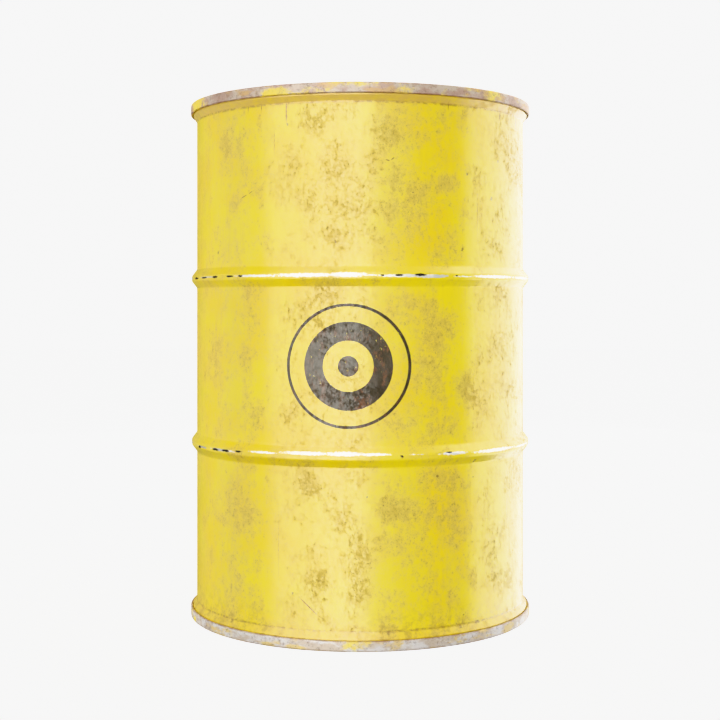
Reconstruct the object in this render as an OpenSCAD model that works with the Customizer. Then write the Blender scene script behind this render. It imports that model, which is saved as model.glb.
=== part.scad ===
// Closed-head steel drum, nominally 208 litres. A rolled body with two rolling
// hoops, a head folded onto each end in a double seam (the chimes), and a large
// bung and a small vent that screw into threaded flanges in the top head.
// Origin: centre of the ring that the drum stands on. +Z is up and -Y is the
// front. The bung is on +X and the vent on -X. All sizes are in millimetres.

/* [Drum] */
// Overall height over both chimes
height = 889; // [600:1:1200]
// Inside diameter of the body
bore_d = 573; // [420:1:700]
// Thickness of the body sheet
body_sheet = 1.2; // [0.8:0.01:2]
// Thickness of both head sheets
head_sheet = 1.2; // [0.8:0.01:2]

/* [Rolling hoops] */
// Distance between the two hoop crests
hoop_spacing = 284; // [160:1:400]
// How far a hoop stands out from the body
hoop_rise = 9; // [5:0.5:12]
// Width of a hoop where it leaves the body
hoop_width = 32; // [26:0.5:44]
// Width of a hoop across its crest
hoop_crest = 8; // [6:0.5:12]

/* [Chimes] */
// How far the body end is flared out below the seam
flare = 6.1; // [4:0.1:9]
// Height over which the body widens into the flare
flare_height = 9.5; // [8:0.5:14]
// Height of the folded seam
seam_height = 16.9; // [14:0.1:17]
// Film of sealing compound between the folded layers
seam_film = 0.35; // [0.25:0.05:0.5]
// Room left beyond the end of each hook
hook_pocket = 2.4; // [2:0.1:3]
// Width of the flat ring along the top of a chime
chime_flat = 2.2; // [1.5:0.1:3]

/* [Heads] */
// Depth from the chime's top to the head panel
recess = 19; // [18:0.5:24]
// Height of the stiffening bead round the panel
bead_rise = 3; // [2:0.5:5]
// Width of the stiffening bead at its foot
bead_width = 12; // [11:0.5:20]
// Flat land between the bead and the recess wall
bead_land = 10; // [8:0.5:20]

/* [Bung and vent] */
// Pitch radius of the large bung's thread
bung_thread_r = 29.07; // [22:0.01:35]
// Pitch radius of the small vent's thread
vent_thread_r = 12.64; // [11:0.01:16]
// Flat land between the bung's seat and the bead
seat_land = 4; // [3:0.5:12]
// How far the octagonal seats stand up from the panel
seat_rise = 2.5; // [2:0.1:3.5]
// Height of the drawn collar above a seat
collar_height = 4.5; // [3.5:0.1:6]
// Wall of a flange's threaded neck
neck_wall = 3.4; // [2.5:0.1:5]
// Width of a flange's base outside its neck
base_land = 9.5; // [8:0.5:12]
// Thickness of a flange's base
base_thickness = 3.5; // [2.5:0.1:5]
// Thickness of the lip swaged over the collar
lip_thickness = 1.3; // [1:0.1:2]
// Thickness of a flange's gasket
flange_gasket_thickness = 1.2; // [0.8:0.1:2]
// Thickness of a plug's gasket
plug_gasket_thickness = 2; // [1.5:0.1:3]
// Thickness of a plug's rim
rim_thickness = 3; // [2:0.1:4]
// Length of thread that a plug puts into its flange
thread_engaged = 11; // [8:0.1:12]
// Wall and floor of a plug's cup
cup_wall = 3.8; // [3:0.1:5]
// Radial clearance of a plug in its thread
thread_clearance = 0.1; // [0.05:0.01:0.1]

/* [Hidden] */
$fn = 180;

PAINT = "gold";
STEEL = "silver";
RUBBER = "dimgray";

// Radii of the sheets' middle lines, from the body outwards through the seam
seam_step = (body_sheet + head_sheet) / 2 + seam_film;
body_r = bore_d / 2 + body_sheet / 2;
wall_r = body_r + flare;
chuck_r = wall_r - seam_step;
cover_hook_r = wall_r + seam_step;
body_hook_r = wall_r + 2 * seam_step;
seam_r = wall_r + 3 * seam_step;

// Bend radii on the middle lines, and how far the flare reaches above the head panel
chime_bend = (seam_r - chuck_r - chime_flat) / 2;
hook_bend = seam_step - 0.05;
flare_bend = 3;
flare_lead = 1.1;
flare_foot_bend = 6;
panel_bend = 4;
bead_bend = 2.5;
hoop_bend = 7;
collar_bend = 2;
BEND_STEPS = 6;

// Depths below the chime's top, of middle lines and of hook ends
head_top = head_sheet / 2;
body_top = head_sheet + seam_film + body_sheet / 2;
seam_bottom = seam_height - head_sheet / 2;
panel_depth = recess + head_sheet / 2;
cover_hook_end = body_top + body_sheet / 2 + hook_pocket;
body_hook_end = seam_height - head_sheet - hook_pocket;
flare_top = panel_depth - flare_lead;
flare_depth = flare_top + flare_height;

// The stiffening bead's foot, and what the bungs' places follow from
bead_outer_r = chuck_r - bead_land;
bead_inner_r = bead_outer_r - bead_width;
bead_crest = bead_width / 3;

// Small clearances
compound_clearance = 0.3;
seat_clearance = 0.5;
neck_clearance = 0.15;
gasket_clearance = 0.3;

// How far a cut runs past a face, and a lug into what it stands on
cut_margin = 1;
lug_root = 0.5;

// Small edges and margins of the flanges and plugs
flange_chamfer = 0.8;
lip_edge = 0.4;
lip_margin = 1;
rim_margin = 0.8;
rim_edge = 0.8;
thread_lead_in = 1.2;
lug_drop = 1;

// Heights above the head panel's upper face, shared by the bung and the vent
seat_ceiling = seat_rise - head_sheet;
base_top = seat_ceiling - flange_gasket_thickness;
base_bottom = base_top - base_thickness;
collar_top = seat_rise + collar_height;
lip_top = collar_top + lip_thickness;
rim_bottom = lip_top + plug_gasket_thickness;
rim_top = rim_bottom + rim_thickness;
plug_bottom = lip_top - thread_engaged;
cup_floor = plug_bottom + cup_wall;
panel_top = height - recess;

// Radii and widths round one bung, from its thread radius
function neck_r(thread_r) = thread_r + neck_wall;
function collar_inner_r(thread_r) = neck_r(thread_r) + neck_clearance;
function collar_outer_r(thread_r) = collar_inner_r(thread_r) + head_sheet;
function collar_foot_r(thread_r) = collar_outer_r(thread_r) + 2 * collar_bend;
function lip_r(thread_r) = collar_outer_r(thread_r) + lip_margin;
function rim_r(thread_r) = lip_r(thread_r) + rim_margin;
function base_flats(thread_r) = 2 * (neck_r(thread_r) + base_land);
function pocket_flats(thread_r) = base_flats(thread_r) + 2 * seat_clearance;
function seat_flats(thread_r) = pocket_flats(thread_r) + 2 * head_sheet;
function cup_r(thread_r) = thread_r - thread_clearance - cup_wall;

// Distance of both bungs from the drum's axis
seat_corner_r = seat_flats(bung_thread_r) / 2 / cos(22.5);
bung_x = bead_inner_r - seat_land - seat_corner_r;

// ---- Sheet sections -------------------------------------------------------

function unit(v) = v / norm(v);
function turned(v, a) = [v.x * cos(a) - v.y * sin(a), v.x * sin(a) + v.y * cos(a)];
function side_of(u, v) = u.x * v.y - u.y * v.x > 0 ? 1 : -1;

// Points of the arc that rounds corner b of the path a, b, c
function bend(a, b, c, r) =
    let (back = unit(a - b),
         ahead = unit(c - b),
         half = acos(back * ahead) / 2,
         centre = b + unit(back + ahead) * r / sin(half),
         start = b + back * r / tan(half) - centre,
         sweep = side_of(-back, ahead) * (180 - 2 * half))
    [for (i = [0 : BEND_STEPS]) centre + turned(start, sweep * i / BEND_STEPS)];

// A path whose corners are rounded: each entry is [point, bend radius]
function rounded(path) =
    [for (i = [0 : len(path) - 1])
        let (corner = path[i][0], r = path[i][1])
        each (r == 0 ? [corner] : bend(path[i - 1][0], corner, path[i + 1][0], r))];

// Directions of the line's edges into and out of point i
function edge_before(line, i) = unit(line[max(i, 1)] - line[max(i, 1) - 1]);
function edge_after(line, i) = unit(line[min(i + 1, len(line) - 1)] - line[min(i, len(line) - 2)]);

// The line moved sideways by d, to the left of its direction, with mitred corners
function beside(line, d) =
    [for (i = [0 : len(line) - 1])
        let (before = edge_before(line, i),
             along = unit(before + edge_after(line, i)))
        line[i] + turned(along, 90) * d / (before * along)];

function reversed(list) = [for (i = [len(list) - 1 : -1 : 0]) list[i]];

// A sheet of thickness t, turned about the drum's axis along a rounded path
module spun_sheet(path, t) {
    line = rounded(path);
    rotate_extrude()
        polygon(concat(beside(line, t / 2), reversed(beside(line, -t / 2))));
}

// Places the children in the lower end's own frame, where depth runs upwards
module at_bottom() {
    mirror([0, 0, 1]) translate([0, 0, -height]) children();
}

// A point given as radius and depth below the top of the drum
function below(r, depth) = [r, height - depth];

// ---- Body and heads -------------------------------------------------------

// Path from the middle of the body up through the flare to the end of its hook
function body_end_path() = [
    [below(body_r, flare_depth), flare_foot_bend],
    [below(wall_r, flare_top), flare_bend],
    [below(wall_r, body_top), hook_bend],
    [below(body_hook_r, body_top), hook_bend],
    [below(body_hook_r, body_hook_end), 0]
];

function hoop_path(z) = [
    [[body_r, z - hoop_width / 2], hoop_bend],
    [[body_r + hoop_rise, z - hoop_crest / 2], hoop_bend],
    [[body_r + hoop_rise, z + hoop_crest / 2], hoop_bend],
    [[body_r, z + hoop_width / 2], hoop_bend]
];

// The same path at the lower end of the body, still running upwards
function flipped(path) = reversed([for (p = path) [[p[0].x, height - p[0].y], p[1]]]);

module body_shell() {
    color(PAINT)
        spun_sheet(concat(flipped(body_end_path()),
                          hoop_path((height - hoop_spacing) / 2),
                          hoop_path((height + hoop_spacing) / 2),
                          body_end_path()), body_sheet);
}

// A head without holes: panel, bead, recess wall, and the fold round the body's flange
module plain_head() {
    spun_sheet([
        [below(0, panel_depth), 0],
        [below(bead_inner_r, panel_depth), bead_bend],
        [below(bead_inner_r + bead_crest, panel_depth - bead_rise), bead_bend],
        [below(bead_outer_r - bead_crest, panel_depth - bead_rise), bead_bend],
        [below(bead_outer_r, panel_depth), bead_bend],
        [below(chuck_r, panel_depth), panel_bend],
        [below(chuck_r, head_top), chime_bend],
        [below(seam_r, head_top), chime_bend],
        [below(seam_r, seam_bottom), hook_bend],
        [below(cover_hook_r, seam_bottom), hook_bend],
        [below(cover_hook_r, cover_hook_end), 0]
    ], head_sheet);
}

module octagon(flats, h) {
    rotate([0, 0, 22.5]) cylinder(r = flats / 2 / cos(22.5), h = h, $fn = 8);
}

module over_bung(side) {
    translate([side * bung_x, 0, panel_top]) children();
}

// The drawn collar that stands up round a flange's neck
module collar(thread_r) {
    middle_r = collar_inner_r(thread_r) + head_sheet / 2;
    seat_middle = seat_rise - head_sheet / 2;
    spun_sheet([
        [[collar_foot_r(thread_r) + cut_margin, seat_middle], 0],
        [[middle_r, seat_middle], collar_bend + head_sheet / 2],
        [[middle_r, collar_top], 0]
    ], head_sheet);
}

module top_head() {
    sides = [[1, bung_thread_r], [-1, vent_thread_r]];
    color(PAINT)
    union() {
        difference() {
            union() {
                plain_head();
                for (s = sides)
                    over_bung(s[0]) translate([0, 0, -head_sheet])
                        octagon(seat_flats(s[1]), seat_rise + head_sheet);
            }
            for (s = sides)
                over_bung(s[0]) {
                    translate([0, 0, -2 * head_sheet])
                        octagon(pocket_flats(s[1]), seat_ceiling + 2 * head_sheet);
                    cylinder(r = collar_foot_r(s[1]), h = collar_top);
                }
        }
        for (s = sides)
            over_bung(s[0]) collar(s[1]);
    }
}

module bottom_head() {
    color(PAINT) at_bottom() plain_head();
}

// The bead of compound beyond each hook's end
module seam_compound() {
    color(RUBBER) {
        compound_ring(wall_r + body_sheet / 2, body_hook_r - body_sheet / 2,
                      body_top + hook_bend, cover_hook_end);
        compound_ring(cover_hook_r + head_sheet / 2, seam_r - head_sheet / 2,
                      body_hook_end, seam_bottom - seam_step);
    }
}

module compound_ring(inner_r, outer_r, top_depth, bottom_depth) {
    c = compound_clearance;
    rotate_extrude()
        polygon([below(inner_r + c, top_depth + c), below(outer_r - c, top_depth + c),
                 below(outer_r - c, bottom_depth - c), below(inner_r + c, bottom_depth - c)]);
}

// ---- Bung and vent --------------------------------------------------------

// Threaded flange: an octagonal base inside the head and a neck swaged over the collar
module threaded_flange(thread_r) {
    color(STEEL)
    difference() {
        union() {
            translate([0, 0, base_bottom]) octagon(base_flats(thread_r), base_thickness);
            rotate_extrude()
                polygon([[0, base_bottom], [neck_r(thread_r), base_bottom], [neck_r(thread_r), collar_top],
                         [lip_r(thread_r), collar_top], [lip_r(thread_r), lip_top - lip_edge],
                         [lip_r(thread_r) - lip_edge, lip_top], [0, lip_top]]);
        }
        bored(thread_r, base_bottom, lip_top);
        translate([0, 0, base_bottom - flange_chamfer])
            cylinder(r1 = thread_r + 2 * flange_chamfer, r2 = thread_r, h = 2 * flange_chamfer);
    }
}

// A hole that runs past both faces
module bored(r, bottom, top) {
    translate([0, 0, bottom - cut_margin]) cylinder(r = r, h = top - bottom + 2 * cut_margin);
}

module washer(inner_r, outer_r, bottom, top) {
    difference() {
        translate([0, 0, bottom]) cylinder(r = outer_r, h = top - bottom);
        bored(inner_r, bottom, top);
    }
}

module flange_gasket(thread_r) {
    color(RUBBER)
        washer(neck_r(thread_r) + gasket_clearance, base_flats(thread_r) / 2 - gasket_clearance,
               base_top, seat_ceiling);
}

module plug_gasket(thread_r) {
    color(RUBBER) washer(thread_r + gasket_clearance, lip_r(thread_r), lip_top, rim_bottom);
}

// Cup-shaped plug with four lugs that a bung wrench turns
module plug(thread_r) {
    outer_r = thread_r - thread_clearance;
    lug_length = cup_r(thread_r) * 0.3;
    lug_width = cup_r(thread_r) * 0.26;
    lug_height = rim_bottom - lug_drop - cup_floor;
    color(STEEL)
    union() {
        rotate_extrude()
            polygon([[0, plug_bottom], [outer_r - thread_lead_in, plug_bottom],
                     [outer_r, plug_bottom + thread_lead_in], [outer_r, rim_bottom],
                     [rim_r(thread_r), rim_bottom], [rim_r(thread_r), rim_top - rim_edge],
                     [rim_r(thread_r) - rim_edge, rim_top], [cup_r(thread_r) + rim_edge, rim_top],
                     [cup_r(thread_r), rim_top - rim_edge], [cup_r(thread_r), cup_floor], [0, cup_floor]]);
        for (a = [0 : 90 : 270])
            rotate([0, 0, a])
                translate([cup_r(thread_r) - lug_length, -lug_width / 2, cup_floor - lug_root])
                    cube([lug_length + lug_root, lug_width, lug_height + lug_root]);
    }
}

// ---- Nodes ----------------------------------------------------------------

body_shell();
top_head();
bottom_head();
seam_compound();  // top_seam_compound
at_bottom() seam_compound();  // bottom_seam_compound
over_bung(1) threaded_flange(bung_thread_r);  // bung_flange
over_bung(1) flange_gasket(bung_thread_r);  // bung_flange_gasket
over_bung(1) plug(bung_thread_r);  // bung_plug
over_bung(1) plug_gasket(bung_thread_r);  // bung_plug_gasket
over_bung(-1) threaded_flange(vent_thread_r);  // vent_flange
over_bung(-1) flange_gasket(vent_thread_r);  // vent_flange_gasket
over_bung(-1) plug(vent_thread_r);  // vent_plug
over_bung(-1) plug_gasket(vent_thread_r);  // vent_plug_gasket
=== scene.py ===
import math

import bmesh
import bpy
from mathutils import Matrix, Vector


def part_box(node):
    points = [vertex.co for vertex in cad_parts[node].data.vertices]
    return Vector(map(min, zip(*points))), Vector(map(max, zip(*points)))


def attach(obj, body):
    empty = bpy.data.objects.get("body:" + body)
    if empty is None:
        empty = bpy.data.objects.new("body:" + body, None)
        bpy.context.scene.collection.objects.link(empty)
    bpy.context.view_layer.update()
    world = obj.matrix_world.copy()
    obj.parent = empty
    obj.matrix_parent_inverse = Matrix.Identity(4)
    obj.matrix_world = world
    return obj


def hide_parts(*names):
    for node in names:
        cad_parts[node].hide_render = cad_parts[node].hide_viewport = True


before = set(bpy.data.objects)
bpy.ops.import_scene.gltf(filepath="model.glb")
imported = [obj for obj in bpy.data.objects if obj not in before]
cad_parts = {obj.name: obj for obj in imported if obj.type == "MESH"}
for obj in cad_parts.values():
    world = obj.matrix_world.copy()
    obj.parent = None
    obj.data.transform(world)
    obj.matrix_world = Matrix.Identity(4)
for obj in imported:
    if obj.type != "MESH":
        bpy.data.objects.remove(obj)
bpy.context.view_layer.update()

# ---- Sizes, in metres ---------------------------------------------------------------

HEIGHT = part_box("top_head")[1][2]
SHEET = 0.0012

# Steps round the drum and in each bend, the sharpest edge that shades smooth, and the slack in picking edges
AROUND = 288
BEND_STEPS = 6
SMOOTH_ANGLE = math.radians(35)
CLOSE = 0.0002

# Middle lines of the sheets, from the seam's outer wall inwards to the body
SEAM_STEP = 0.00155
SEAM_R = -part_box("top_head")[0][0] - SHEET / 2
BODY_HOOK_R = SEAM_R - SEAM_STEP
COVER_HOOK_R = BODY_HOOK_R - SEAM_STEP
WALL_R = COVER_HOOK_R - SEAM_STEP
CHUCK_R = WALL_R - SEAM_STEP
BODY_R = WALL_R - 0.0061

# Depths below the top of the chime
HEAD_TOP = SHEET / 2
BODY_TOP = SHEET * 1.5 + 0.00035
SEAM_BOTTOM = 0.0163
COVER_HOOK_END = 0.00515
BODY_HOOK_END = 0.0133
FLARE_TOP = 0.0185
FLARE_FOOT = 0.028
PANEL_DEPTH = 0.0196

# Bends, on the middle lines
FLARE_FOOT_BEND = 0.006
FLARE_BEND = 0.003
HOOP_BEND = 0.007
HOOK_BEND = 0.0015
CHIME_BEND = 0.002
PANEL_BEND = 0.004
BEAD_BEND = 0.0025
SEAT_BEND = 0.0008
COLLAR_BEND = 0.0026

# Rolling hoops
HOOP_HEIGHTS = (0.3025, 0.5865)
HOOP_RISE = 0.009
HOOP_WIDTH = 0.032
HOOP_CREST = 0.008

# Head panel: the stiffening bead, and the octagonal seats of the bung and the vent
BEAD_OUTER_R = CHUCK_R - 0.010
BEAD_INNER_R = BEAD_OUTER_R - 0.012
BEAD_RISE = 0.003
PANEL_EDGE_R = BEAD_INNER_R - 0.003
OCTAGON_TURN = math.radians(22.5)
SEAT_CLEARANCE = 0.0013
SEAT_REACH = 0.0016
SEAT_STEP = 0.001
SEAT_RISE = 0.0025
COLLAR_LEAD = 0.0004
COLLAR_RISE = 0.007
LIP_OVERHANG = 0.0016

# Screw plugs: threads of 11 and 14 to the inch, and the sizes that both plugs share
BUNG_PITCH = 0.002309
VENT_PITCH = 0.001814
THREAD_DEPTH = 0.0014
RIM_OVERHANG = 0.00665
CUP_WALL = 0.0038
LUG_SINK = 0.0002

# The mark painted on the front
MARK_HEIGHT = 0.445

# The camera, and the angle that it stands at, from the front towards +X
CAMERA_DISTANCE = 2.388
CAMERA_HEIGHT = 0.5425
CAMERA_ANGLE = math.radians(3.7)
CAMERA_LENS = 67.13
CAMERA_SHIFT = -0.0778

STUDIO_R = 14


# ---- Modelling helpers --------------------------------------------------------------

def clear_selection():
    bpy.ops.object.select_all(action="DESELECT")


def edit(piece):
    """Opens one piece in edit mode, on its edges."""
    clear_selection()
    piece.select_set(True)
    bpy.context.view_layer.objects.active = piece
    bpy.ops.object.mode_set(mode="EDIT")
    bpy.ops.mesh.select_mode(type="EDGE")


def close_edit():
    bpy.ops.object.mode_set(mode="OBJECT")


def pick_edges(piece, wanted):
    """In edit mode, selects the border edges whose ends both pass the test."""
    bpy.ops.mesh.select_all(action="DESELECT")
    mesh = bmesh.from_edit_mesh(piece.data)
    for edge in mesh.edges:
        if (edge.is_boundary or edge.is_wire) and all(wanted(v.co) for v in edge.verts):
            edge.select_set(True)
    bmesh.update_edit_mesh(piece.data)


def add_ring(radius, centre, corners=AROUND, fill="NOTHING"):
    """Adds a ring, or a disc, as a new piece whose place is in its mesh."""
    clear_selection()
    bpy.ops.mesh.primitive_circle_add(vertices=corners, radius=radius, location=centre, fill_type=fill)
    piece = bpy.context.object
    bpy.ops.object.transform_apply(location=True, rotation=True, scale=True)
    return piece


def bend(back, corner, ahead, radius):
    """Points of the arc that rounds a corner."""
    to_back, to_ahead = (back - corner).normalized(), (ahead - corner).normalized()
    half = to_back.angle(to_ahead) / 2
    centre = corner + (to_back + to_ahead).normalized() * radius / math.sin(half)
    start = corner + to_back * radius / math.tan(half) - centre
    turn = math.copysign(math.pi - 2 * half, (-to_back).cross(to_ahead))
    return [centre + Matrix.Rotation(turn * i / BEND_STEPS, 2) @ start for i in range(BEND_STEPS + 1)]


def rounded(corners):
    """A path from (radius, height, bend) corners, with the bends drawn as arcs."""
    points = [Vector(corner[:2]) for corner in corners]
    path = []
    for i, (*_, radius) in enumerate(corners):
        path += bend(points[i - 1], points[i], points[i + 1], radius) if radius else [points[i]]
    return path


def draw_out(path, centre=(0, 0, 0)):
    """In edit mode, extrudes the selected ring along a path about the vertical axis at centre."""
    for (radius, z), (next_radius, next_z) in zip(path, path[1:]):
        bpy.ops.mesh.extrude_edges_move(TRANSFORM_OT_translate={"value": (0, 0, next_z - z)})
        grow = next_radius / radius
        bpy.ops.transform.resize(value=(grow, grow, 1), center_override=centre)


def apply_modifier(piece, kind, **settings):
    clear_selection()
    piece.select_set(True)
    bpy.context.view_layer.objects.active = piece
    modifier = piece.modifiers.new(kind.lower(), kind)
    for name, value in settings.items():
        setattr(modifier, name, value)
    bpy.ops.object.modifier_apply(modifier=modifier.name)


def face_outwards(piece):
    edit(piece)
    bpy.ops.mesh.select_all(action="SELECT")
    bpy.ops.mesh.remove_doubles(threshold=0.00002)
    bpy.ops.mesh.normals_make_consistent(inside=False)
    close_edit()


def finish_piece(piece, name, body, node):
    clear_selection()
    piece.select_set(True)
    bpy.context.view_layer.objects.active = piece
    bpy.ops.object.shade_smooth_by_angle(angle=SMOOTH_ANGLE)
    piece.name = name
    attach(piece, body)
    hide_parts(node)
    return piece


# ---- Body and heads -----------------------------------------------------------------

def body_end():
    """The flare and the hook at the top of the body."""
    return [
        (BODY_R, HEIGHT - FLARE_FOOT, FLARE_FOOT_BEND),
        (WALL_R, HEIGHT - FLARE_TOP, FLARE_BEND),
        (WALL_R, HEIGHT - BODY_TOP, HOOK_BEND),
        (BODY_HOOK_R, HEIGHT - BODY_TOP, HOOK_BEND),
        (BODY_HOOK_R, HEIGHT - BODY_HOOK_END, 0),
    ]


def upside_down(corners):
    return [(radius, HEIGHT - z, turn) for radius, z, turn in reversed(corners)]


def hoop(z):
    crest_r = BODY_R + HOOP_RISE
    return [
        (BODY_R, z - HOOP_WIDTH / 2, HOOP_BEND),
        (crest_r, z - HOOP_CREST / 2, HOOP_BEND),
        (crest_r, z + HOOP_CREST / 2, HOOP_BEND),
        (BODY_R, z + HOOP_WIDTH / 2, HOOP_BEND),
    ]


def make_body():
    corners = upside_down(body_end()) + hoop(HOOP_HEIGHTS[0]) + hoop(HOOP_HEIGHTS[1]) + body_end()
    path = rounded(corners)
    piece = add_ring(path[0].x, (0, 0, path[0].y))
    edit(piece)
    bpy.ops.mesh.select_all(action="SELECT")
    draw_out(path)
    close_edit()
    face_outwards(piece)
    apply_modifier(piece, "SOLIDIFY", thickness=SHEET, offset=0, use_even_offset=True)
    return finish_piece(piece, "body_sheet", "drum", "body_shell")


def head_wall():
    """From the panel's edge over the bead and the chime to the end of the hook, for the top head."""
    panel_z = HEIGHT - PANEL_DEPTH
    bead_third = (BEAD_OUTER_R - BEAD_INNER_R) / 3
    return [
        (PANEL_EDGE_R, panel_z, 0),
        (BEAD_INNER_R, panel_z, BEAD_BEND),
        (BEAD_INNER_R + bead_third, panel_z + BEAD_RISE, BEAD_BEND),
        (BEAD_OUTER_R - bead_third, panel_z + BEAD_RISE, BEAD_BEND),
        (BEAD_OUTER_R, panel_z, BEAD_BEND),
        (CHUCK_R, panel_z, PANEL_BEND),
        (CHUCK_R, HEIGHT - HEAD_TOP, CHIME_BEND),
        (SEAM_R, HEIGHT - HEAD_TOP, CHIME_BEND),
        (SEAM_R, HEIGHT - SEAM_BOTTOM, HOOK_BEND),
        (COVER_HOOK_R, HEIGHT - SEAM_BOTTOM, HOOK_BEND),
        (COVER_HOOK_R, HEIGHT - COVER_HOOK_END, 0),
    ]


def bung_seat(node_flange, node_plug_gasket):
    """Centre of a bung, and the radii of its seat's corners and its collar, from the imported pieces."""
    low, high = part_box(node_flange)
    lip_low, lip_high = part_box(node_plug_gasket)
    centre_x = (low[0] + high[0]) / 2
    corner_r = (high[0] - low[0]) / 2 / math.cos(OCTAGON_TURN) + SEAT_CLEARANCE
    collar_r = (lip_high[0] - lip_low[0]) / 2 - LIP_OVERHANG
    return centre_x, corner_r, collar_r


def raise_seat(piece, centre_x, corner_r, collar_r):
    """Draws one octagonal seat and its collar up out of the panel."""
    panel_z = HEIGHT - PANEL_DEPTH
    seat_z = panel_z + SEAT_RISE
    centre = (centre_x, 0, 0)
    outer_r = corner_r + SEAT_REACH
    flank = rounded([
        (outer_r, panel_z, 0), (outer_r - SEAT_STEP, panel_z, SEAT_BEND),
        (outer_r - 2 * SEAT_STEP, seat_z, SEAT_BEND), (outer_r - 3 * SEAT_STEP, seat_z, 0),
    ])

    def on_octagon(place):
        inside_bead = math.hypot(place.x, place.y) < PANEL_EDGE_R - CLOSE
        return inside_bead and math.hypot(place.x - centre_x, place.y) < outer_r + CLOSE

    pick_edges(piece, on_octagon)
    draw_out(flank, centre)
    foot_r = collar_r + COLLAR_BEND + COLLAR_LEAD
    collar_top = panel_z + SHEET / 2 + COLLAR_RISE
    bpy.ops.mesh.primitive_circle_add(vertices=96, radius=foot_r, location=(centre_x, 0, seat_z))
    pick_edges(piece, lambda place: on_octagon(place) and place.z > seat_z - CLOSE)
    bpy.ops.mesh.fill()
    pick_edges(piece, lambda place: math.hypot(place.x - centre_x, place.y) < foot_r + CLOSE)
    collar = [(foot_r, seat_z, 0), (collar_r, seat_z, COLLAR_BEND), (collar_r, collar_top, 0)]
    draw_out(rounded(collar), centre)


def make_head(name, node, seats):
    path = rounded(head_wall())
    edge_r, panel_z = path[0]
    piece = add_ring(edge_r, (0, 0, panel_z))
    edit(piece)
    for centre_x, corner_r, _ in seats:
        bpy.ops.mesh.primitive_circle_add(
            vertices=8, radius=corner_r + SEAT_REACH,
            location=(centre_x, 0, panel_z), rotation=(0, 0, OCTAGON_TURN))
    bpy.ops.mesh.select_all(action="SELECT")
    bpy.ops.mesh.fill()
    for seat in seats:
        raise_seat(piece, *seat)
    pick_edges(piece, lambda place: math.hypot(place.x, place.y) > edge_r - CLOSE)
    draw_out(path)
    close_edit()
    face_outwards(piece)
    apply_modifier(piece, "SOLIDIFY", thickness=SHEET, offset=0, use_even_offset=True)
    if node == "bottom_head":
        edit(piece)
        bpy.ops.mesh.select_all(action="SELECT")
        bpy.ops.transform.resize(value=(1, 1, -1), center_override=(0, 0, HEIGHT / 2))
        bpy.ops.mesh.normals_make_consistent(inside=False)
        close_edit()
    return finish_piece(piece, name, "drum", node)


# ---- Screw plugs --------------------------------------------------------------------

def thread_ridge(outer_r, depth, pitch, low_z, high_z):
    """The ridge of a right-hand screw thread: a small triangle wound up round the axis."""
    section_r = depth / 1.5
    clear_selection()
    bpy.ops.mesh.primitive_circle_add(
        vertices=3, radius=section_r,
        location=(outer_r - section_r, 0, low_z), rotation=(math.pi / 2, math.pi / 2, 0))
    ridge = bpy.context.object
    bpy.ops.object.transform_apply(location=True, rotation=True, scale=True)
    turns = int((high_z - low_z) / pitch)
    apply_modifier(ridge, "SCREW", axis="Z", angle=2 * math.pi, screw_offset=pitch, iterations=turns,
                   steps=72, render_steps=72)
    edit(ridge)
    bpy.ops.mesh.select_all(action="SELECT")
    bpy.ops.mesh.fill_holes(sides=3)
    bpy.ops.mesh.normals_make_consistent(inside=False)
    close_edit()
    return ridge


def wrench_lugs(cup_r, floor_z, lug_z):
    """The four lugs inside the cup that a bung wrench turns, sunk a little into its wall and floor."""
    length, width, height = cup_r * 0.32, cup_r * 0.24, lug_z - floor_z
    centre = (cup_r - length / 2 + 2 * LUG_SINK, 0, floor_z + height / 2 - LUG_SINK)
    clear_selection()
    bpy.ops.mesh.primitive_cube_add(size=1, location=centre, scale=(length, width, height))
    lugs = bpy.context.object
    bpy.ops.object.transform_apply(location=True, rotation=True, scale=True)
    edit(lugs)
    bpy.ops.mesh.select_all(action="SELECT")
    bpy.ops.mesh.bevel(offset=cup_r * 0.03, segments=3)
    for turn in (90, 180):
        bpy.ops.mesh.select_all(action="SELECT")
        bpy.ops.mesh.duplicate()
        bpy.ops.transform.rotate(value=math.radians(turn), orient_axis="Z", center_override=(0, 0, 0))
    close_edit()
    return lugs


def make_plug(name, node, body, pitch):
    low, high = (Vector(corner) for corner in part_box(node))
    gasket_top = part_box(node + "_gasket")[1][2]
    rim_r = (high.x - low.x) / 2
    thread_r = rim_r - RIM_OVERHANG
    core_r = thread_r - THREAD_DEPTH
    cup_r = thread_r - CUP_WALL
    floor_z = low.z + CUP_WALL
    path = rounded([
        (core_r - 0.0012, low.z, 0), (core_r, low.z + 0.0012, 0.0004),
        (core_r, gasket_top - 0.0006, 0.0003),
        (thread_r, gasket_top, 0.0001), (rim_r, gasket_top, 0.0004), (rim_r, high.z, 0.0008),
        (cup_r, high.z, 0.001), (cup_r, floor_z, 0.0012), (cup_r * 0.5, floor_z, 0),
    ])
    piece = add_ring(path[0].x, (0, 0, path[0].y), corners=144, fill="NGON")
    edit(piece)
    pick_edges(piece, lambda place: True)
    draw_out(path)
    bpy.ops.mesh.edge_face_add()
    close_edit()
    face_outwards(piece)
    lugs = wrench_lugs(cup_r, floor_z, gasket_top - 0.001)
    ridge = thread_ridge(thread_r, THREAD_DEPTH + 0.0002, pitch, low.z + 0.002, gasket_top - 0.0016)
    clear_selection()
    for part in (lugs, ridge, piece):
        part.select_set(True)
    bpy.context.view_layer.objects.active = piece
    bpy.ops.object.join()
    edit(piece)
    bpy.ops.mesh.select_all(action="SELECT")
    bpy.ops.transform.translate(value=((low.x + high.x) / 2, 0, 0))
    close_edit()
    return finish_piece(piece, name, body, node)


# ---- Finishes -----------------------------------------------------------------------

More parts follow.
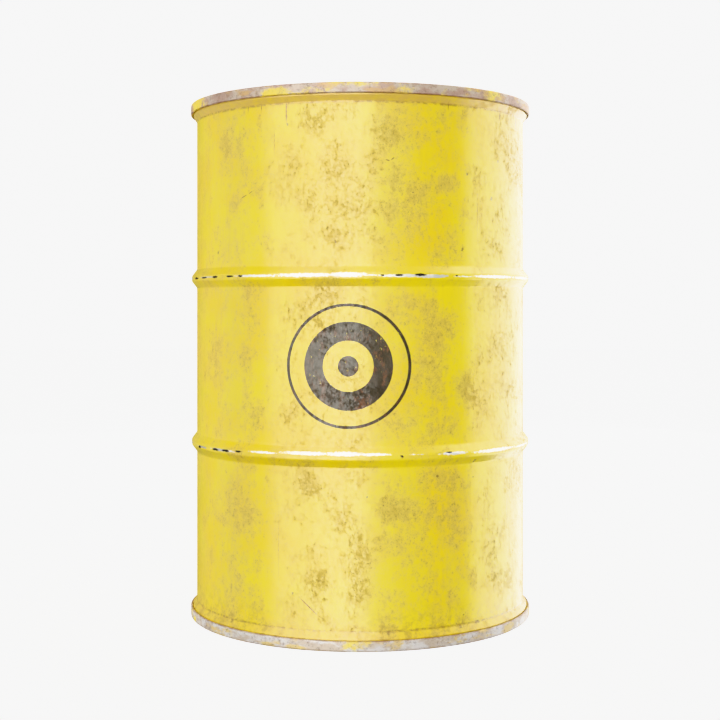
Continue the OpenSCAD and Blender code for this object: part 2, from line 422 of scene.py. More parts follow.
def tint(red, green, blue):
    """A colour given in screen values from 0 to 255, as the linear colour that a shader takes."""
    return tuple(c / 3294.6 if c <= 10.3 else ((c / 255 + 0.055) / 1.055) ** 2.4
                 for c in (red, green, blue)) + (1,)


class Finish:
    """A finish in the making, with short names for the nodes that all the finishes share."""

    def __init__(self, name):
        self.material = bpy.data.materials.new(name)
        self.material.use_nodes = True
        self.nodes = self.material.node_tree.nodes
        self.nodes.clear()
        self.shader = self.node("ShaderNodeBsdfPrincipled")
        output = self.node("ShaderNodeOutputMaterial")
        self.feed(output.inputs["Surface"], self.shader.outputs["BSDF"])
        self.place = self.node("ShaderNodeTexCoord").outputs["Object"]
        split = self.node("ShaderNodeSeparateXYZ")
        self.feed(split.inputs[0], self.place)
        self.x, self.y, self.z = split.outputs

    def node(self, kind, **settings):
        made = self.nodes.new(kind)
        for name, value in settings.items():
            setattr(made, name, value)
        return made

    def feed(self, socket, value):
        if isinstance(value, bpy.types.NodeSocket):
            self.material.node_tree.links.new(value, socket)
        else:
            socket.default_value = value

    def math(self, operation, *values, clamp=False):
        made = self.node("ShaderNodeMath", operation=operation, use_clamp=clamp)
        for socket, value in zip(made.inputs, values):
            self.feed(socket, value)
        return made.outputs[0]

    def times(self, *values):
        result = values[0]
        for value in values[1:]:
            result = self.math("MULTIPLY", result, value)
        return result

    def plus(self, *values):
        result = values[0]
        for value in values[1:]:
            result = self.math("ADD", result, value)
        return result

    def minus(self, value, less):
        return self.math("SUBTRACT", value, less)

    def apart(self, value, other):
        return self.math("ABSOLUTE", self.minus(value, other))

    def sum_of(self, *shares):
        """The sum of several values, each times its share."""
        return self.plus(*(self.times(value, share) for value, share in shares))

    def most(self, *values):
        result = values[0]
        for value in values[1:]:
            result = self.math("MAXIMUM", result, value)
        return result

    def ramp(self, value, low, high, bottom=0.0, top=1.0):
        """Rises smoothly from bottom to top as value goes from low to high."""
        made = self.node("ShaderNodeMapRange", interpolation_type="SMOOTHSTEP")
        for socket, given in zip(made.inputs, (value, low, high, bottom, top)):
            self.feed(socket, given)
        return made.outputs[0]

    def coat(self, factor, under, over):
        """Lays one colour over another."""
        made = self.node("ShaderNodeMix", data_type="RGBA")
        self.feed(made.inputs[0], factor)
        self.feed(made.inputs[6], under)
        self.feed(made.inputs[7], over)
        return made.outputs[2]

    def grain(self, size, detail=4.0, roughness=0.55, tall=1.0, shift=0.0):
        """Noise whose features are about size metres across, and tall times as high."""
        mapping = self.node("ShaderNodeMapping")
        self.feed(mapping.inputs["Vector"], self.place)
        self.feed(mapping.inputs["Location"], (shift, shift * 0.7, shift * 1.3))
        self.feed(mapping.inputs["Scale"], (1 / size, 1 / size, 1 / (size * tall)))
        noise = self.node("ShaderNodeTexNoise")
        self.feed(noise.inputs["Vector"], mapping.outputs[0])
        self.feed(noise.inputs["Scale"], 1.0)
        self.feed(noise.inputs["Detail"], detail)
        self.feed(noise.inputs["Roughness"], roughness)
        return noise.outputs[0]

    def sway(self, reach, *grain, **shift):
        """Noise that wanders to either side of nothing, over reach in all."""
        return self.times(self.minus(self.grain(*grain, **shift), 0.5), reach)

    def length(self, across, up):
        return self.math("SQRT", self.plus(self.times(across, across), self.times(up, up)))

    def radius(self):
        return self.length(self.x, self.y)

    def from_middle(self):
        """Height above or below the middle of the drum."""
        return self.apart(self.z, HEIGHT / 2)

    def unrolled(self, radius, wander=0.0, wander_size=0.01):
        """The wall unrolled flat: distance round it from the front, height, and nothing."""
        angle = self.math("ARCTAN2", self.x, self.times(self.y, -1.0))
        join = self.node("ShaderNodeCombineXYZ")
        across, up = self.times(angle, radius), self.z
        if wander:
            across = self.plus(across, self.sway(wander, wander_size, 2))
            up = self.plus(up, self.sway(wander, wander_size, 2, shift=7))
        self.feed(join.inputs[0], across)
        self.feed(join.inputs[1], up)
        return join.outputs[0]

    def patch(self, wall, degrees, height, half_width, half_height, lean=0.0):
        """One soft oval on the unrolled wall: 1 at its middle and 0 at its edge."""
        mapping = self.node("ShaderNodeMapping", vector_type="TEXTURE")
        self.feed(mapping.inputs["Vector"], wall)
        self.feed(mapping.inputs["Location"], (math.radians(degrees) * BODY_R, height, 0))
        self.feed(mapping.inputs["Rotation"], (0, 0, math.radians(lean)))
        self.feed(mapping.inputs["Scale"], (half_width, half_height, 1))
        gradient = self.node("ShaderNodeTexGradient", gradient_type="SPHERICAL")
        self.feed(gradient.inputs[0], mapping.outputs[0])
        return gradient.outputs[1]

    def patches(self, wall, places):
        """Several ovals: each is degrees, height, half width, half height, strength and any lean."""
        return self.most(*(
            self.times(self.patch(wall, degrees, height, half_width, half_height, *lean), strength)
            for degrees, height, half_width, half_height, strength, *lean in places))

    def bump(self, height, strength, distance):
        made = self.node("ShaderNodeBump")
        self.feed(made.inputs["Strength"], strength)
        self.feed(made.inputs["Distance"], distance)
        self.feed(made.inputs["Height"], height)
        self.feed(self.shader.inputs["Normal"], made.outputs[0])

    def set(self, **sockets):
        for name, value in sockets.items():
            self.feed(self.shader.inputs[name.replace("_", " ")], value)


YELLOW = tint(239, 219, 20)
WARM_YELLOW = tint(238, 211, 18)
CHALK = tint(238, 223, 118)
TAN = tint(220, 194, 108)
SMEAR = tint(208, 178, 66)
GRIME = tint(164, 132, 58)
DARK_GRIME = tint(104, 76, 42)
RUST = tint(126, 78, 40)
DARK_RUST = tint(84, 54, 36)
# Darker yellow for the painted shade, mixed with dirt, on the flares under the chimes
SHADED_DIRTY_YELLOW = tint(214, 182, 86)
BARE_METAL = tint(216, 214, 210)
PALE_METAL = tint(206, 201, 196)
GREY_METAL = tint(188, 172, 152)
MAUVE_METAL = tint(172, 142, 122)
ORANGE_TAN = tint(190, 154, 96)
OLD_BLACK = tint(34, 28, 26)
WORN_BLACK = tint(70, 60, 54)
MARK_BROWN = tint(120, 72, 48)
# Brown for the painted shade, broken up like dirt, at the foot where the drum stands
FOOT_SHADE_BROWN = tint(150, 112, 70)
SANDY_METAL = tint(212, 188, 120)
PALE_ZINC = tint(176, 172, 164)
DARK_ZINC = tint(140, 136, 130)
BLACK_RUBBER = tint(44, 42, 40)
GREYED_RUBBER = tint(82, 78, 72)
BROWN_COMPOUND = tint(96, 84, 64)
PALE_COMPOUND = tint(134, 120, 92)

# Clusters of grime on the front: degrees from the front, height, half width, half height, strength
GRIME_PLACES = (
    (-10, 0.832, 0.035, 0.035, 1.3), (14, 0.815, 0.05, 0.05, 1.0), (18, 0.79, 0.035, 0.03, 0.6),
    (5, 0.72, 0.10, 0.12, 0.7), (21, 0.72, 0.03, 0.03, 0.7), (33, 0.735, 0.025, 0.02, 0.9),
    (-29, 0.70, 0.02, 0.02, 0.7), (-13, 0.70, 0.03, 0.03, 0.9), (-4, 0.645, 0.03, 0.03, 1.3),
    (10, 0.655, 0.05, 0.04, 0.8), (20, 0.665, 0.03, 0.03, 0.7), (45, 0.70, 0.03, 0.12, 0.5),
    (-7, 0.555, 0.05, 0.03, 1.1), (8, 0.55, 0.07, 0.035, 0.6), (29, 0.49, 0.05, 0.07, 0.7),
    (27, 0.43, 0.04, 0.05, 0.6), (40, 0.405, 0.04, 0.04, 1.0), (32, 0.35, 0.06, 0.06, 0.4),
    (-26, 0.46, 0.06, 0.06, 0.4), (-30, 0.36, 0.05, 0.07, 0.5), (10, 0.37, 0.08, 0.05, 0.6),
    (-13, 0.255, 0.03, 0.05, 1.3), (-3, 0.205, 0.04, 0.04, 1.3), (4, 0.14, 0.05, 0.09, 1.1),
    (-9, 0.10, 0.04, 0.045, 1.5), (1, 0.08, 0.04, 0.04, 1.3), (13, 0.215, 0.05, 0.04, 0.8),
    (9, 0.17, 0.04, 0.04, 0.8), (20, 0.225, 0.03, 0.03, 0.6), (13, 0.095, 0.05, 0.06, 0.4),
    (29, 0.065, 0.05, 0.04, 0.5), (36, 0.26, 0.08, 0.05, 0.3), (50, 0.14, 0.08, 0.07, 0.4),
    (56, 0.80, 0.04, 0.05, 0.3), (64, 0.70, 0.05, 0.08, 0.3), (57, 0.635, 0.04, 0.05, 0.3),
    (-37, 0.08, 0.06, 0.06, 0.5), (-28, 0.26, 0.03, 0.03, 0.4), (60, 0.45, 0.08, 0.12, 0.5),
)

# Stretches smeared up and down by rubbing and rain, in the same form
SMEAR_PLACES = (
    (-58, 0.72, 0.03, 0.14, 1.0), (-52, 0.50, 0.025, 0.12, 0.8), (-60, 0.30, 0.03, 0.16, 0.9),
    (-46, 0.66, 0.02, 0.10, 0.7), (-44, 0.16, 0.02, 0.10, 0.6), (47, 0.74, 0.012, 0.12, 1.0),
    (58, 0.66, 0.03, 0.12, 0.6), (64, 0.42, 0.03, 0.14, 0.8), (52, 0.20, 0.03, 0.12, 0.6),
    (72, 0.78, 0.02, 0.10, 0.8), (30, 0.38, 0.03, 0.08, 0.5), (5, 0.47, 0.03, 0.10, 0.4),
    (-75, 0.55, 0.03, 0.25, 0.9), (80, 0.30, 0.03, 0.22, 0.8),
)

# Small dark spots where the paint is through to rust, in the same form
SPOT_PLACES = (
    (-20, 0.827, 0.0035, 0.0045, 1.0), (40.5, 0.751, 0.003, 0.004, 1.0), (56, 0.777, 0.004, 0.005, 0.9),
    (52, 0.715, 0.006, 0.006, 0.9), (38.5, 0.63, 0.004, 0.007, 0.9), (-51, 0.628, 0.004, 0.004, 0.9),
    (20.5, 0.718, 0.002, 0.002, 1.0), (-18, 0.086, 0.0032, 0.0028, 1.0),
    (12.5, 0.027, 0.0045, 0.0045, 1.0), (37.5, 0.026, 0.005, 0.0035, 1.0),
    (45, 0.028, 0.009, 0.004, 1.0), (-42.5, 0.026, 0.006, 0.005, 0.9),
    (6, 0.24, 0.003, 0.003, 0.9), (11, 0.227, 0.002, 0.002, 0.9), (43, 0.29, 0.005, 0.005, 0.8),
    (16.5, 0.303, 0.004, 0.004, 0.9), (-4, 0.64, 0.003, 0.003, 0.8), (43, 0.263, 0.002, 0.002, 0.9),
    (39, 0.045, 0.004, 0.003, 0.8), (57, 0.146, 0.004, 0.004, 0.7), (29, 0.27, 0.004, 0.003, 0.8),
)

# Thin runs of rusty water: degrees, middle height, half width, half height, strength
RUN_PLACES = (
    (-20.2, 0.848, 0.0022, 0.027, 1.0), (-19.6, 0.862, 0.0012, 0.016, 0.8),
    (-24.6, 0.80, 0.0014, 0.035, 0.6),
    (70, 0.848, 0.003, 0.022, 1.0), (57, 0.853, 0.0025, 0.014, 0.8), (-29.5, 0.856, 0.0016, 0.012, 0.7),
    (-23, 0.16, 0.0011, 0.095, 0.5), (-35, 0.858, 0.0015, 0.014, 0.6), (62, 0.20, 0.002, 0.05, 0.5),
    (74, 0.45, 0.003, 0.08, 0.5), (45, 0.69, 0.002, 0.07, 0.4), (33, 0.86, 0.002, 0.012, 0.7),
)

# Scratches: degrees, height, half length, half width, strength, lean in degrees
SCRATCH_PLACES = (
    (-12.5, 0.066, 0.030, 0.0012, 1.0, -41), (12.4, 0.768, 0.0045, 0.0011, 1.0, -12),
    (14, 0.7705, 0.0045, 0.0009, 1.0, 40), (-37, 0.716, 0.009, 0.001, 1.0, 22),
    (-34, 0.722, 0.006, 0.0008, 1.0, 30),
)

# Rubbed stretches of the hoop crests: degrees, offset from the crest, half length, half width, strength
UPPER_SHINE = (
    (-56, 0.0006, 0.07, 0.0026, 0.7), (-30, 0.001, 0.08, 0.0034, 0.9), (-13, 0.0015, 0.09, 0.0046, 1.0),
    (0, 0.002, 0.05, 0.0062, 1.0), (7, 0.001, 0.03, 0.0026, 0.7), (17, 0.0005, 0.07, 0.0036, 1.0),
    (26, 0.0, 0.05, 0.0044, 1.0), (38, 0.0, 0.05, 0.0026, 0.6), (52, 0.0005, 0.09, 0.0040, 1.0),
    (72, 0.0, 0.08, 0.0034, 1.0), (95, 0.0, 0.10, 0.003, 0.8), (130, 0.0, 0.12, 0.004, 0.9),
    (165, 0.0, 0.08, 0.003, 0.7), (-150, 0.0, 0.13, 0.0036, 0.9), (-110, 0.0, 0.10, 0.003, 0.8),
    (-80, 0.0, 0.08, 0.003, 0.8),
)
UPPER_CHIPS = (
    (-66, -0.0005, 0.020, 0.0032, 1.0), (-58, 0.0, 0.018, 0.0026, 1.0), (-50, 0.0005, 0.013, 0.0034, 1.0),
    (-42, 0.001, 0.015, 0.0028, 1.0), (-37, 0.001, 0.010, 0.0028, 0.9), (10.5, 0.001, 0.006, 0.0024, 1.0),
    (15.5, 0.0012, 0.011, 0.0028, 1.0), (22.5, 0.002, 0.018, 0.0034, 1.0), (35, 0.001, 0.004, 0.002, 0.9),
    (-95, 0.0, 0.02, 0.003, 1.0), (120, 0.001, 0.03, 0.003, 1.0), (150, 0.0, 0.015, 0.003, 1.0),
    (-140, 0.0, 0.02, 0.003, 0.9),
)
LOWER_SHINE = (
    (-60, 0.0, 0.04, 0.003, 0.8), (-46, 0.001, 0.06, 0.0034, 0.9), (-28, 0.004, 0.045, 0.003, 0.9),
    (-13, 0.0058, 0.065, 0.0044, 1.0), (-1, 0.006, 0.05, 0.0052, 1.0), (8, 0.0052, 0.045, 0.0034, 0.9),
    (22, 0.004, 0.04, 0.0022, 0.5), (34, 0.003, 0.042, 0.0044, 0.9), (53, 0.002, 0.09, 0.0044, 1.0),
    (72, 0.001, 0.07, 0.003, 0.9), (100, 0.0, 0.12, 0.0034, 0.8), (150, 0.0, 0.14, 0.0036, 0.9),
    (-160, 0.0, 0.10, 0.003, 0.8), (-115, 0.0, 0.12, 0.0036, 0.9), (-80, 0.0, 0.07, 0.003, 0.8),
)
LOWER_CHIPS = (
    (-62, -0.001, 0.010, 0.0044, 1.0), (-50, 0.0005, 0.018, 0.0034, 1.0), (-44, 0.001, 0.018, 0.0036, 1.0),
    (-38, 0.002, 0.012, 0.0028, 1.0), (32.5, 0.005, 0.012, 0.0026, 0.8), (16.5, 0.002, 0.005, 0.003, 0.9),
    (95, 0.0, 0.02, 0.003, 1.0), (135, 0.0, 0.03, 0.0026, 0.9), (-130, 0.0, 0.025, 0.003, 1.0),
)


def aged_yellow(finish, wall):
    """Old yellow enamel with chalking, smears and grime: its colour, roughness, height and dullness."""
    broad = finish.grain(0.12, 3, shift=3)
    cloud = finish.grain(0.050, 8, 0.76, 1.2, shift=14)
    fine = finish.grain(0.0075, 8, 0.80, 1.2, shift=9)
    dust = finish.grain(0.0035, 3, 0.7, 1.5, shift=4)
    lines = finish.grain(0.0045, 5, 0.62, 14, shift=2)

    colour = finish.coat(finish.ramp(broad, 0.35, 0.65), YELLOW, WARM_YELLOW)
    chalk = finish.times(finish.ramp(finish.grain(0.06, 5, 0.6, 2.5, shift=11), 0.42, 0.72),
                         finish.ramp(lines, 0.3, 0.7, 0.5, 1.0))
    colour = finish.coat(finish.times(chalk, 0.15), colour, CHALK)

    placed = finish.patches(wall, GRIME_PLACES)
    smear_zones = finish.plus(finish.patches(wall, SMEAR_PLACES),
                              finish.ramp(finish.grain(0.05, 3, shift=8), 0.50, 0.75, 0.15, 0.8))
    smeared = finish.times(finish.ramp(lines, 0.42, 0.66), smear_zones)
    colour = finish.coat(finish.times(smeared, 0.40), colour, SMEAR)

    level = finish.plus(cloud, finish.times(placed, 0.17), finish.times(broad, 0.25), -0.125)
    tan = finish.ramp(finish.plus(level, finish.times(fine, 0.40), -0.20), 0.38, 0.68)
    colour = finish.coat(finish.times(tan, 0.50), colour, TAN)
    core = finish.times(finish.ramp(finish.plus(level, finish.times(fine, 0.9), -0.45), 0.50, 0.76),
                        finish.ramp(dust, 0.30, 0.60, 0.5, 1.0))
    colour = finish.coat(finish.times(core, 0.46), colour, GRIME)
    speckled = finish.sum_of((fine, 0.8), (dust, 0.25))
    specks = finish.times(finish.ramp(speckled, 0.58, 0.72), finish.ramp(level, 0.40, 0.66, 0.36, 1.0))
    colour = finish.coat(finish.times(specks, 0.58), colour, DARK_GRIME)

    flecks = finish.times(finish.ramp(finish.grain(0.0027, 3, 0.8, shift=23), 0.56, 0.68),
                          finish.ramp(level, 0.46, 0.62, 0.08, 1.0))
    colour = finish.coat(finish.times(flecks, 0.5), colour, DARK_GRIME)

    gritty = finish.ramp(finish.plus(fine, finish.times(dust, 0.5), -0.25), 0.36, 0.62, 0.0, 1.0)
    dull = finish.sum_of((finish.times(tan, gritty), 0.65), (core, 0.30), (specks, 0.7), (smeared, 0.2),
                         (gritty, 0.16), (flecks, 0.6), (finish.ramp(lines, 0.35, 0.65), 0.12))
    roughness = finish.plus(0.34, finish.sum_of((tan, 0.12), (core, 0.22), (dust, 0.10)))
    height = finish.sum_of((core, 0.08), (specks, -0.3), (dust, 0.12))
    return colour, roughness, height, dull


def front_mark(finish):
    """How much black paint of the round mark lies on each point of the front."""
    from_centre = finish.length(finish.x, finish.minus(finish.z, MARK_HEIGHT))
    distance = finish.plus(from_centre, finish.sway(0.0006, 0.004, 2, shift=21))
    edge = 0.0004

    def ring(inner, outer):
        return finish.times(finish.ramp(distance, inner - edge, inner + edge),
                            finish.ramp(distance, outer - edge, outer + edge, 1.0, 0.0))

    shapes = finish.most(ring(-1.0, 0.0163), ring(0.040, 0.070), ring(0.0937, 0.0985))
    return finish.times(shapes, finish.math("LESS_THAN", finish.y, 0.0))


def crest_wear(finish, wall, z, places, level):
    """Rubbed stretches along one hoop, with ragged edges."""
    moved = [(degrees, z + offset, *rest) for degrees, offset, *rest in places]
    ragged = finish.sway(0.9, 0.005, 3, 0.6, 0.5, shift=15)
    return finish.ramp(finish.plus(finish.patches(wall, moved), ragged), level, level + 0.22)


def lay_mark(finish, colour):
    """Lays the worn black mark over the paint, and tells where it lies."""
    wear = finish.grain(0.018, 6, 0.72, 1.6, shift=31)
    black = finish.coat(finish.ramp(wear, 0.40, 0.66), OLD_BLACK, WORN_BLACK)
    brown = finish.times(finish.ramp(finish.grain(0.010, 6, 0.75, 2, shift=33), 0.50, 0.66),
                         finish.ramp(finish.x, -0.06, 0.06, 0.35, 1.0))
    black = finish.coat(finish.times(brown, 0.85), black, MARK_BROWN)
    flakes = finish.ramp(finish.grain(0.006, 5, 0.8, 1.5, shift=35), 0.63, 0.68)
    mark = finish.times(front_mark(finish), finish.minus(1.0, finish.times(flakes, 0.8)))
    return finish.coat(finish.times(mark, 0.97), colour, black), mark


def lay_rust(finish, wall, rough_wall, colour):
    """Lays runs, spots and scratches of rust over the paint, and tells where each lies."""
    runs = finish.ramp(finish.patches(rough_wall, RUN_PLACES), 0.05, 0.6)
    colour = finish.coat(finish.times(runs, 0.75), colour, RUST)
    ragged = finish.sway(1.6, 0.0035, 3, 0.7, shift=19)
    spots = finish.ramp(finish.plus(finish.patches(rough_wall, SPOT_PLACES), ragged), 0.22, 0.62)
    colour = finish.coat(finish.times(spots, 0.62), colour, DARK_RUST)
    scratches = finish.ramp(finish.patches(wall, SCRATCH_PLACES), 0.05, 0.5)
    colour = finish.coat(finish.times(scratches, 0.85), colour, RUST)
    return colour, runs, spots, scratches


def lay_edge_shade_and_dirt(finish, colour):
    """Lays painted shade mixed with dirt on the flares under the chimes, strongest on the top flare, a thin
    broken line of painted shade in the rust colour under the seams' lower edges, rust along the flares'
    feet, and splashes low down.
    """
    from_middle = finish.from_middle()
    # Painted shade mixed with dirt on the flares under the chimes: a darker yellow band broken up by dirt
    # grain, at full strength on the top flare, which faces down, and about a third as strong on the bottom
    # flare, which faces up
    groove = finish.ramp(from_middle, HEIGHT / 2 - 0.0315, HEIGHT / 2 - 0.027)
    dirt = finish.ramp(finish.grain(0.012, 6, 0.72, 0.5, shift=18), 0.35, 0.62, 0.55, 1.0)
    top_flare_shade_and_dirt = finish.times(finish.ramp(finish.z, 0.4, 0.5, 0.3, 1.0), dirt)
    colour = finish.coat(finish.times(groove, top_flare_shade_and_dirt), colour, SHADED_DIRTY_YELLOW)

    corner = finish.ramp(finish.apart(from_middle, HEIGHT / 2 - 0.0295), 0.0, 0.0032, 1.0, 0.0)
    corner_stain = finish.ramp(finish.grain(0.012, 6, 0.78, 0.5, shift=17), 0.40, 0.58)
    # Painted shade in the crease just under each seam's lower edge: a thin dark line broken up by grain,
    # laid in the rust colour together with the real rust along the flares' feet
    seat = finish.ramp(from_middle, HEIGHT / 2 - 0.0185, HEIGHT / 2 - 0.0172)
    seat_shade_breakup = finish.ramp(finish.grain(0.018, 6, 0.75, 0.4, shift=25), 0.35, 0.62, 0.2, 0.8)
    rust = finish.most(finish.times(corner, corner_stain), finish.times(seat, seat_shade_breakup))
    colour = finish.coat(finish.times(rust, 0.6), colour, RUST)

    splash = finish.times(finish.ramp(finish.z, 0.018, 0.085, 1.0, 0.0),
                          finish.ramp(finish.grain(0.014, 8, 0.78, shift=27), 0.44, 0.64))
    return finish.coat(finish.times(splash, 0.55), colour, GRIME)


def body_paint():
    finish = Finish("yellow_enamel_body")
    wall = finish.unrolled(BODY_R)
    rough_wall = finish.unrolled(BODY_R, 0.004, 0.006)
    colour, roughness, height, dull = aged_yellow(finish, rough_wall)
    colour, mark = lay_mark(finish, colour)
    colour, runs, spots, scratches = lay_rust(finish, wall, rough_wall, colour)

    # The side weld, down the back
    weld = finish.times(finish.ramp(finish.math("ABSOLUTE", finish.x), 0.0012, 0.0035, 1.0, 0.0),
                        finish.math("GREATER_THAN", finish.y, 0.0))
    colour = finish.coat(finish.times(weld, 0.35), colour, GRIME)
    colour = lay_edge_shade_and_dirt(finish, colour)

    shine = finish.most(crest_wear(finish, wall, HOOP_HEIGHTS[1], UPPER_SHINE, 0.30),
                        crest_wear(finish, wall, HOOP_HEIGHTS[0], LOWER_SHINE, 0.30))
    chips = finish.most(crest_wear(finish, wall, HOOP_HEIGHTS[1], UPPER_CHIPS, 0.34),
                        crest_wear(finish, wall, HOOP_HEIGHTS[0], LOWER_CHIPS, 0.34))
    colour = finish.coat(shine, colour, BARE_METAL)
    colour = finish.coat(chips, colour, OLD_BLACK)

    roughness = finish.plus(roughness, finish.sum_of((runs, 0.2), (mark, 0.1), (chips, 0.3)))
    height = finish.plus(height, finish.sum_of((shine, -0.8), (chips, -1.0), (spots, -1.0),
                                               (scratches, -0.6), (weld, 2.0)))
    metal = finish.times(shine, finish.minus(1.0, chips), 0.75)
    dull = finish.plus(dull, finish.sum_of((chips, 0.5), (mark, 0.35)))
    gloss = finish.math("SUBTRACT", 1.0, dull, clamp=True)
    finish.set(Base_Color=colour, Roughness=roughness, Metallic=metal)
    finish.set(Coat_Weight=gloss, Coat_Roughness=0.25, Specular_IOR_Level=0.2)
    finish.bump(height, 0.5, 0.0003)
    return finish.material


def chime_wear(finish):
    """How worn the chime is, from 0 to 1: its outside and its crest."""
    outside = finish.ramp(finish.radius(), SEAM_R - 0.0032, SEAM_R - 0.0012)
    crest = finish.ramp(finish.from_middle(), HEIGHT / 2 - 0.0016, HEIGHT / 2 - 0.0006)
    return finish.most(outside, crest)


def worn_metal(finish, grey, mauve, tan):
    """The metal of a worn chime, patchy in three tones and rusty in places."""
    mauve_parts = finish.ramp(finish.grain(0.045, 6, 0.66, 0.5, shift=42), 0.44, 0.58)
    tone = finish.coat(mauve_parts, grey, mauve)
    tan_parts = finish.ramp(finish.grain(0.06, 5, 0.62, 0.4, shift=43), 0.52, 0.62)
    tone = finish.coat(tan_parts, tone, tan)
    rusty_parts = finish.ramp(finish.grain(0.014, 6, 0.75, 0.6, shift=45), 0.54, 0.70)
    return finish.coat(finish.times(rusty_parts, 0.6), tone, RUST)


def head_paint(name, tones, paint_left):
    """Enamel on a head, worn through on the chime to metal in three tones."""
    finish = Finish(name)
    colour, roughness, height, _ = aged_yellow(finish, finish.unrolled(SEAM_R))
    worn = chime_wear(finish)
    broad = finish.plus(finish.grain(0.08, 4, 0.6, 0.6, shift=40),
                        finish.times(finish.grain(0.01, 5, 0.7, shift=41), 0.25))
    rubbed = finish.ramp(broad, paint_left - 0.02, paint_left + 0.10)
    colour = finish.coat(finish.times(worn, rubbed), colour, worn_metal(finish, *tones))

    # Stains, most of them in the gutter inside the chime, and pits
    gutter = finish.ramp(finish.apart(finish.radius(), CHUCK_R - 0.006), 0.002, 0.014, 1.0, 0.0)
    stains = finish.plus(finish.grain(0.035, 7, 0.72, shift=47), finish.times(gutter, 0.16))
    colour = finish.coat(finish.times(finish.ramp(stains, 0.58, 0.72), 0.6), colour, RUST)
    pits = finish.times(finish.ramp(finish.grain(0.006, 5, 0.78, shift=44), 0.52, 0.68),
                        finish.ramp(worn, 0.0, 1.0, 0.35, 1.0))
    colour = finish.coat(finish.times(pits, 0.55), colour, DARK_RUST)

    # Rust along the seam's lower edge, and at the very foot where the drum stands a brown of painted shade,
    # broken up like dirt
    lip = finish.ramp(finish.from_middle(), HEIGHT / 2 - 0.0168, HEIGHT / 2 - 0.0145, 1.0, 0.0)
    lip_stain = finish.ramp(finish.grain(0.015, 6, 0.72, 0.4, shift=48), 0.36, 0.58)
    colour = finish.coat(finish.times(lip, lip_stain, worn, 0.7), colour, RUST)
    foot_shade_and_dirt = finish.times(finish.ramp(finish.z, 0.0, 0.0045, 1.0, 0.0),
                        finish.ramp(finish.grain(0.02, 5, 0.7, shift=46), 0.35, 0.55))
    colour = finish.coat(finish.times(foot_shade_and_dirt, 0.6), colour, FOOT_SHADE_BROWN)

    finish.set(Base_Color=colour, Roughness=finish.plus(roughness, finish.times(worn, 0.15)))
    finish.set(Metallic=0.0, Coat_Weight=0.1, Coat_Roughness=0.35)
    finish.bump(finish.plus(height, finish.times(pits, -0.8)), 0.5, 0.0003)
    return finish.material


def zinc():
    """Dull zinc plating with freckles of rust."""
    finish = Finish("dull_zinc")
    tone = finish.coat(finish.ramp(finish.grain(0.006, 6, 0.65), 0.35, 0.65), PALE_ZINC, DARK_ZINC)
    freckles = finish.plus(finish.grain(0.012, 6, 0.7, shift=3), finish.times(finish.grain(0.002, 3), 0.2))
    rust = finish.ramp(freckles, 0.66, 0.78)
    finish.set(Base_Color=finish.coat(finish.times(rust, 0.85), tone, RUST),
               Metallic=finish.minus(0.9, finish.times(rust, 0.8)),
               Roughness=finish.plus(0.42, finish.sum_of((rust, 0.35), (finish.grain(0.003, 3), 0.12))))
    finish.bump(finish.plus(finish.grain(0.0015, 4), rust), 0.3, 0.0002)
    return finish.material


def rubber(name, dark, light):
    """Aged rubber or dried compound, greyed and slightly cracked."""
    finish = Finish(name)
    tone = finish.ramp(finish.grain(0.004, 6, 0.65), 0.35, 0.7)
    cracks = finish.ramp(finish.grain(0.0012, 3, 0.6, 4), 0.55, 0.7)
    finish.set(Base_Color=finish.coat(tone, dark, light))
    finish.set(Roughness=finish.plus(0.6, finish.times(tone, 0.2)))
    finish.bump(finish.plus(tone, finish.times(cracks, -0.6)), 0.4, 0.0002)
    return finish.material


def paint_over(piece, material):
    """Gives all of a piece one finish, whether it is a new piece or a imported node."""
    if not piece.material_slots:
        piece.data.materials.append(material)
    for material_slot in piece.material_slots:
        material_slot.material = material


# ---- Studio -------------------------------------------------------------------------

def around_drum(angle, distance, z):
    """A place round the drum, at an angle from the camera's side, positive to the right."""
    turned = angle + CAMERA_ANGLE
    return Vector((math.sin(turned) * distance, -math.cos(turned) * distance, z))


def glowing(name, strength, albedo):
    """Plain white that glows a little, so that it stays even."""
    made = bpy.data.materials.new(name)
    made.use_nodes = True
    shader = made.node_tree.nodes["Principled BSDF"]
    shader.inputs["Base Color"].default_value = (albedo, albedo, albedo, 1)
    shader.inputs["Roughness"].default_value = 1.0
    shader.inputs["Specular IOR Level"].default_value = 0.0
    shader.inputs["Emission Color"].default_value = (1, 1, 1, 1)
    shader.inputs["Emission Strength"].default_value = strength
    return made


def make_stage():
    clear_selection()
    bpy.ops.mesh.primitive_circle_add(
        vertices=96, radius=STUDIO_R, fill_type="NGON", location=(0, 0, -0.0005))
    floor = bpy.context.object
    floor.name = "studio_floor"
    floor.data.materials.append(glowing("studio_white", 1.34, 0.05))
    clear_selection()
    bpy.ops.mesh.primitive_uv_sphere_add(segments=64, ring_count=32, radius=STUDIO_R)
    backdrop = bpy.context.object
    backdrop.name = "studio_backdrop"
    backdrop.data.materials.append(glowing("studio_backdrop_white", 1.38, 0.0))
    for stage in (floor, backdrop):
        stage.visible_glossy = False
        stage.visible_diffuse = False
        stage.visible_shadow = False


def soft_light(name, angle, distance, z, width, height, brightness,
               seen_in_gloss=True, lights_matt=True):
    """A large soft panel that faces the drum; brightness is its radiance."""
    data = bpy.data.lights.new(name, "AREA")
    data.shape = "RECTANGLE"
    data.size, data.size_y = width, height
    data.energy = brightness * width * height * math.pi
    light = bpy.data.objects.new(name, data)
    bpy.context.collection.objects.link(light)
    light.location = around_drum(math.radians(angle), distance, z)
    aim = Vector((0, 0, HEIGHT / 2)) - light.location
    light.rotation_euler = aim.to_track_quat("-Z", "Y").to_euler()
    light.visible_camera = False
    light.visible_glossy = seen_in_gloss
    light.visible_diffuse = lights_matt


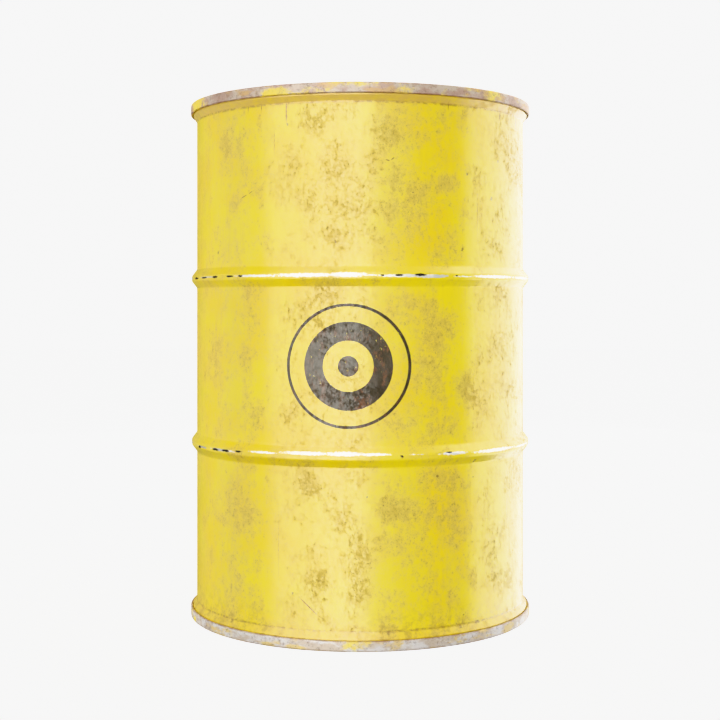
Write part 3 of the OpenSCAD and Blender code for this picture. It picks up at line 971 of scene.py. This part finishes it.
def make_lights():
    """Panels that only the gloss shows, fills that only light the paint, and one panel overhead."""
    for name, *placing in (
            ("front_left_panel", -28, 3.2, 1.5, 4.8, 7.6, 5.0),
            ("front_left_core", -13, 3.2, 1.5, 2.5, 7.6, 3.9),
            ("right_panel", 117, 2.6, 1.0, 4.5, 6.0, 4.5)):
        soft_light(name, *placing, lights_matt=False)
    for name, *placing in (
            ("front_fill", 10, 2.2, 0.45, 2.4, 3.0, 2.15),
            ("left_fill", -105, 3.4, 0.45, 3.6, 3.0, 4.3),
            ("right_fill", 138, 3.4, 0.6, 3.0, 3.8, 2.2),
            ("rear_fill", -165, 3.2, 1.2, 4.0, 3.4, 1.2)):
        soft_light(name, *placing, seen_in_gloss=False)
    soft_light("overhead_panel", 0, 0.01, 3.4, 3.6, 3.6, 1.0)
    world = bpy.data.worlds.new("studio")
    bpy.context.scene.world = world
    world.use_nodes = True
    world.node_tree.nodes["Background"].inputs[0].default_value = (1, 1, 1, 1)
    world.node_tree.nodes["Background"].inputs[1].default_value = 0.18


def make_camera():
    data = bpy.data.cameras.new("camera")
    data.lens = CAMERA_LENS
    data.sensor_width = 36
    data.shift_y = CAMERA_SHIFT
    camera = bpy.data.objects.new("camera", data)
    bpy.context.collection.objects.link(camera)
    camera.location = around_drum(0, CAMERA_DISTANCE, CAMERA_HEIGHT)
    camera.rotation_euler = (math.pi / 2, 0, CAMERA_ANGLE)
    bpy.context.scene.camera = camera


# ---- Assembly -----------------------------------------------------------------------

make_camera()
make_stage()
make_lights()
bpy.context.scene.view_settings.view_transform = "Khronos PBR Neutral"

bung_seats = [bung_seat("bung_flange", "bung_plug_gasket"), bung_seat("vent_flange", "vent_plug_gasket")]
body = make_body()
top = make_head("top_head_sheet", "top_head", bung_seats)
bottom = make_head("bottom_head_sheet", "bottom_head", [])
bung = make_plug("bung_screw_plug", "bung_plug", "bung", BUNG_PITCH)
vent = make_plug("vent_screw_plug", "vent_plug", "vent", VENT_PITCH)

top_paint = head_paint("yellow_enamel_top", (GREY_METAL, MAUVE_METAL, ORANGE_TAN), 0.50)
bottom_paint = head_paint("yellow_enamel_bottom", (PALE_METAL, GREY_METAL, SANDY_METAL), 0.46)
plating = zinc()
for piece, material, slot in ((body, body_paint(), "yellow_paint"), (top, top_paint, "yellow_paint"),
                              (bottom, bottom_paint, "yellow_paint"), (bung, plating, "zinc_steel"),
                              (vent, plating, "zinc_steel")):
    paint_over(piece, material)

gasket_rubber = rubber("aged_gasket_rubber", BLACK_RUBBER, GREYED_RUBBER)
compound = rubber("dried_compound", BROWN_COMPOUND, PALE_COMPOUND)
for node in ("bung_flange", "vent_flange"):
    paint_over(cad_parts[node], plating)
for node in ("bung_flange_gasket", "bung_plug_gasket", "vent_flange_gasket", "vent_plug_gasket"):
    paint_over(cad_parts[node], gasket_rubber)
for node in ("top_seam_compound", "bottom_seam_compound"):
    paint_over(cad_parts[node], compound)
